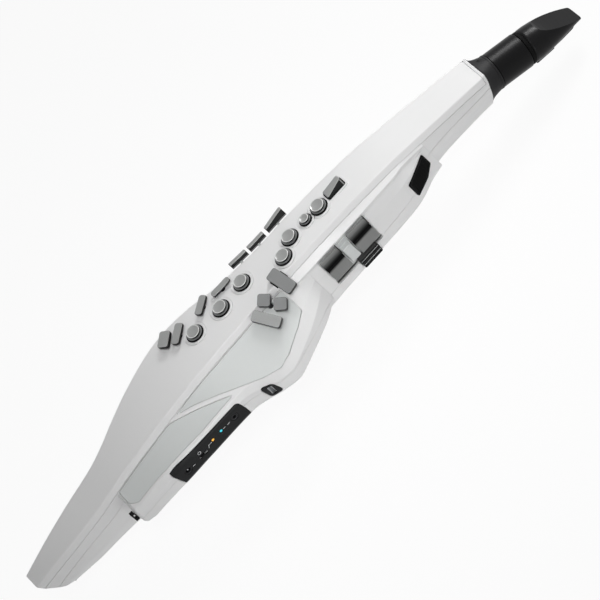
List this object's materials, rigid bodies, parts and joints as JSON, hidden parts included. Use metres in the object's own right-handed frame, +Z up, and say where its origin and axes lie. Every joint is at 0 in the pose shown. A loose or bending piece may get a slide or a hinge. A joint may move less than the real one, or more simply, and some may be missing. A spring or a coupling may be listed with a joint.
{
  "type": "digital wind controller",
  "caption": "Saxophone-style digital wind controller on its back: white horn body, sprung keys, side control box, speaker grille, thumb controls and pull-off mouthpiece.",
  "frame": {"origin": "middle of the bounding box in the plane the instrument rests on, lying on its back", "axes": "+X from the tail end to the mouthpiece, +Y to the side of the side keys, +Z up through the front keys"},
  "size_m": [0.5742, 0.1064, 0.092],
  "materials": {
    "white": "pearl white moulded plastic with a satin gloss",
    "silver_paint": "silver paint on plastic",
    "key_grey": "metallic grey satin plastic",
    "gunmetal": "gunmetal gloss paint on plastic",
    "black": "black satin plastic",
    "black_rubber": "matt black rubber",
    "reed_resin": "black flexible resin",
    "grille_mesh": "black painted slotted grille",
    "silicone": "milky silicone",
    "steel": "bright nickel on steel",
    "dark_pane": "smoked clear plastic over a dark display",
    "cell_wrap": "shrink wrap",
    "circuit_board": "green solder mask"
  },
  "bodies": {
    "instrument_body": {"front_cover": "white", "side_casing": "white", "rear_cover": "white", "silver_panel_upper": "silver_paint", "silver_panel_lower": "silver_paint", "palm_cradle": "silver_paint", "control_strip": "black", "socket_plate": "black", "headphone_jack": "black", "speaker": "black", "neck_collar": "black", "neck_barrel": "black", "breath_sensor": "black", "lead_hook": "black", "thumb_hook": "black", "joint_ring": "black_rubber", "tail_foot": "black_rubber", "thumb_rest": "black_rubber", "speaker_grille": "grille_mesh", "breath_tube": "silicone", "dome_sheet": "silicone", "strap_ring": "steel", "display_window": "dark_pane", "battery_pack": "cell_wrap", "main_board": "circuit_board", "key_board": "circuit_board"},
    "mouthpiece": {"mouthpiece": "black", "reed": "reed_resin"},
    "battery_door": {"battery_door": "white"},
    "bend_lever": {"bend_lever": "key_grey"},
    "power_slider": {"power_slider": "black"},
    "octave_up_key": {"octave_up_key": "key_grey"},
    "octave_down_key": {"octave_down_key": "key_grey"},
    "palm_key_lower": {"palm_key_lower": "gunmetal"},
    "palm_key_upper": {"palm_key_upper": "gunmetal"},
    "palm_key_third": {"palm_key_third": "black"},
    "key_g_sharp": {"key_g_sharp": "key_grey"},
    "key_c_sharp": {"key_c_sharp": "key_grey"},
    "key_low_b": {"key_low_b": "key_grey"},
    "key_low_b_flat": {"key_low_b_flat": "key_grey"},
    "key_side_1": {"key_side_1": "key_grey"},
    "key_side_2": {"key_side_2": "key_grey"},
    "key_side_3": {"key_side_3": "key_grey"},
    "key_b": {"key_b": "key_grey"},
    "key_bis": {"key_bis": "key_grey"},
    "key_a": {"key_a": "key_grey"},
    "key_g": {"key_g": "key_grey"},
    "key_f": {"key_f": "key_grey"},
    "key_e": {"key_e": "key_grey"},
    "key_d": {"key_d": "key_grey"},
    "key_front_f": {"key_front_f": "key_grey"},
    "key_side_bar": {"key_side_bar": "key_grey"},
    "key_high_f_sharp": {"key_high_f_sharp": "key_grey"},
    "key_e_flat": {"key_e_flat": "key_grey"},
    "key_low_c": {"key_low_c": "key_grey"},
    "s1_button": {"s1_button": "black"},
    "s2_button": {"s2_button": "black"},
    "menu_button": {"menu_button": "black"},
    "minus_button": {"minus_button": "black"},
    "plus_button": {"plus_button": "black"}
  },
  "joints": [
    {"name": "mouthpiece_pull", "type": "slide", "parent": "instrument_body", "child": "mouthpiece", "axis": [0.9613, 0, -0.2756], "range_m": [0, 0.012]},
    {"name": "battery_door_lift", "type": "slide", "parent": "instrument_body", "child": "battery_door", "axis": [0, 0, -1], "range_m": [0, 0.014]},
    {"name": "bend_lever_tilt", "type": "hinge", "parent": "instrument_body", "child": "bend_lever", "pos_m": [0.0639, 0.0156, 0.023], "axis": [0, 1, 0], "range_deg": [-8, 8], "stiffness_Nm_per_rad": 0.1},
    {"name": "power_slider_move", "type": "slide", "parent": "instrument_body", "child": "power_slider", "axis": [1, 0, 0], "range_m": [0, 0.002]},
    {"name": "octave_up_key_press", "type": "slide", "parent": "instrument_body", "child": "octave_up_key", "axis": [-0.0639, 0, 0.998], "range_m": [0, 0.0015], "stiffness_N_per_m": 400},
    {"name": "octave_down_key_press", "type": "slide", "parent": "instrument_body", "child": "octave_down_key", "axis": [-0.039, 0, 0.9992], "range_m": [0, 0.0015], "stiffness_N_per_m": 400},
    {"name": "palm_key_lower_tilt", "type": "hinge", "parent": "instrument_body", "child": "palm_key_lower", "pos_m": [0.0479, -0.017, 0.0755], "axis": [1, 0, 0], "range_deg": [0, 4], "stiffness_Nm_per_rad": 0.15},
    {"name": "palm_key_upper_tilt", "type": "hinge", "parent": "instrument_body", "child": "palm_key_upper", "pos_m": [0.0479, -0.017, 0.0755], "axis": [1, 0, 0], "range_deg": [0, 4], "stiffness_Nm_per_rad": 0.15},
    {"name": "palm_key_third_press", "type": "slide", "parent": "instrument_body", "child": "palm_key_third", "axis": [0, 1, 0], "range_m": [0, 0.0015], "stiffness_N_per_m": 400},
    {"name": "key_g_sharp_press", "type": "slide", "parent": "instrument_body", "child": "key_g_sharp", "axis": [0, 0.3633, -0.9317], "range_m": [0, 0.0012], "stiffness_N_per_m": 400},
    {"name": "key_c_sharp_press", "type": "slide", "parent": "instrument_body", "child": "key_c_sharp", "axis": [0, 0.3633, -0.9317], "range_m": [0, 0.0012], "stiffness_N_per_m": 400},
    {"name": "key_low_b_press", "type": "slide", "parent": "instrument_body", "child": "key_low_b", "axis": [0, 0.3633, -0.9317], "range_m": [0, 0.0012], "stiffness_N_per_m": 400},
    {"name": "key_low_b_flat_press", "type": "slide", "parent": "instrument_body", "child": "key_low_b_flat", "axis": [0, 0.3633, -0.9317], "range_m": [0, 0.0012], "stiffness_N_per_m": 400},
    {"name": "key_side_1_press", "type": "slide", "parent": "instrument_body", "child": "key_side_1", "axis": [0, -0.8175, -0.576], "range_m": [0, 0.0012], "stiffness_N_per_m": 400},
    {"name": "key_side_2_press", "type": "slide", "parent": "instrument_body", "child": "key_side_2", "axis": [0, -0.8175, -0.576], "range_m": [0, 0.0012], "stiffness_N_per_m": 400},
    {"name": "key_side_3_press", "type": "slide", "parent": "instrument_body", "child": "key_side_3", "axis": [0, -0.8175, -0.576], "range_m": [0, 0.0012], "stiffness_N_per_m": 400},
    {"name": "key_b_press", "type": "slide", "parent": "instrument_body", "child": "key_b", "axis": [0, 0, -1], "range_m": [0, 0.0015], "stiffness_N_per_m": 400},
    {"name": "key_bis_press", "type": "slide", "parent": "instrument_body", "child": "key_bis", "axis": [0, 0, -1], "range_m": [0, 0.0015], "stiffness_N_per_m": 400},
    {"name": "key_a_press", "type": "slide", "parent": "instrument_body", "child": "key_a", "axis": [0, 0, -1], "range_m": [0, 0.0015], "stiffness_N_per_m": 400},
    {"name": "key_g_press", "type": "slide", "parent": "instrument_body", "child": "key_g", "axis": [0, 0, -1], "range_m": [0, 0.0015], "stiffness_N_per_m": 400},
    {"name": "key_f_press", "type": "slide", "parent": "instrument_body", "child": "key_f", "axis": [0, 0, -1], "range_m": [0, 0.0015], "stiffness_N_per_m": 400},
    {"name": "key_e_press", "type": "slide", "parent": "instrument_body", "child": "key_e", "axis": [0, 0, -1], "range_m": [0, 0.0015], "stiffness_N_per_m": 400},
    {"name": "key_d_press", "type": "slide", "parent": "instrument_body", "child": "key_d", "axis": [0, 0, -1], "range_m": [0, 0.0015], "stiffness_N_per_m": 400},
    {"name": "key_front_f_press", "type": "slide", "parent": "instrument_body", "child": "key_front_f", "axis": [0, 0, -1], "range_m": [0, 0.0015], "stiffness_N_per_m": 400},
    {"name": "key_side_bar_press", "type": "slide", "parent": "instrument_body", "child": "key_side_bar", "axis": [0, 0, -1], "range_m": [0, 0.0015], "stiffness_N_per_m": 400},
    {"name": "key_high_f_sharp_press", "type": "slide", "parent": "instrument_body", "child": "key_high_f_sharp", "axis": [0, 0, -1], "range_m": [0, 0.0015], "stiffness_N_per_m": 400},
    {"name": "key_e_flat_press", "type": "slide", "parent": "instrument_body", "child": "key_e_flat", "axis": [0, 0, -1], "range_m": [0, 0.0015], "stiffness_N_per_m": 400},
    {"name": "key_low_c_press", "type": "slide", "parent": "instrument_body", "child": "key_low_c", "axis": [0, 0, -1], "range_m": [0, 0.0015], "stiffness_N_per_m": 400},
    {"name": "s1_button_press", "type": "slide", "parent": "instrument_body", "child": "s1_button", "axis": [-0.1064, 0, 0.9943], "range_m": [0, 0.0008], "stiffness_N_per_m": 400},
    {"name": "s2_button_press", "type": "slide", "parent": "instrument_body", "child": "s2_button", "axis": [-0.1064, 0, 0.9943], "range_m": [0, 0.0008], "stiffness_N_per_m": 400},
    {"name": "menu_button_press", "type": "slide", "parent": "instrument_body", "child": "menu_button", "axis": [-0.1961, 0, 0.9806], "range_m": [0, 0.0008], "stiffness_N_per_m": 400},
    {"name": "minus_button_press", "type": "slide", "parent": "instrument_body", "child": "minus_button", "axis": [-0.1961, 0, 0.9806], "range_m": [0, 0.0008], "stiffness_N_per_m": 400},
    {"name": "plus_button_press", "type": "slide", "parent": "instrument_body", "child": "plus_button", "axis": [-0.1961, 0, 0.9806], "range_m": [0, 0.0008], "stiffness_N_per_m": 400}
  ]
}
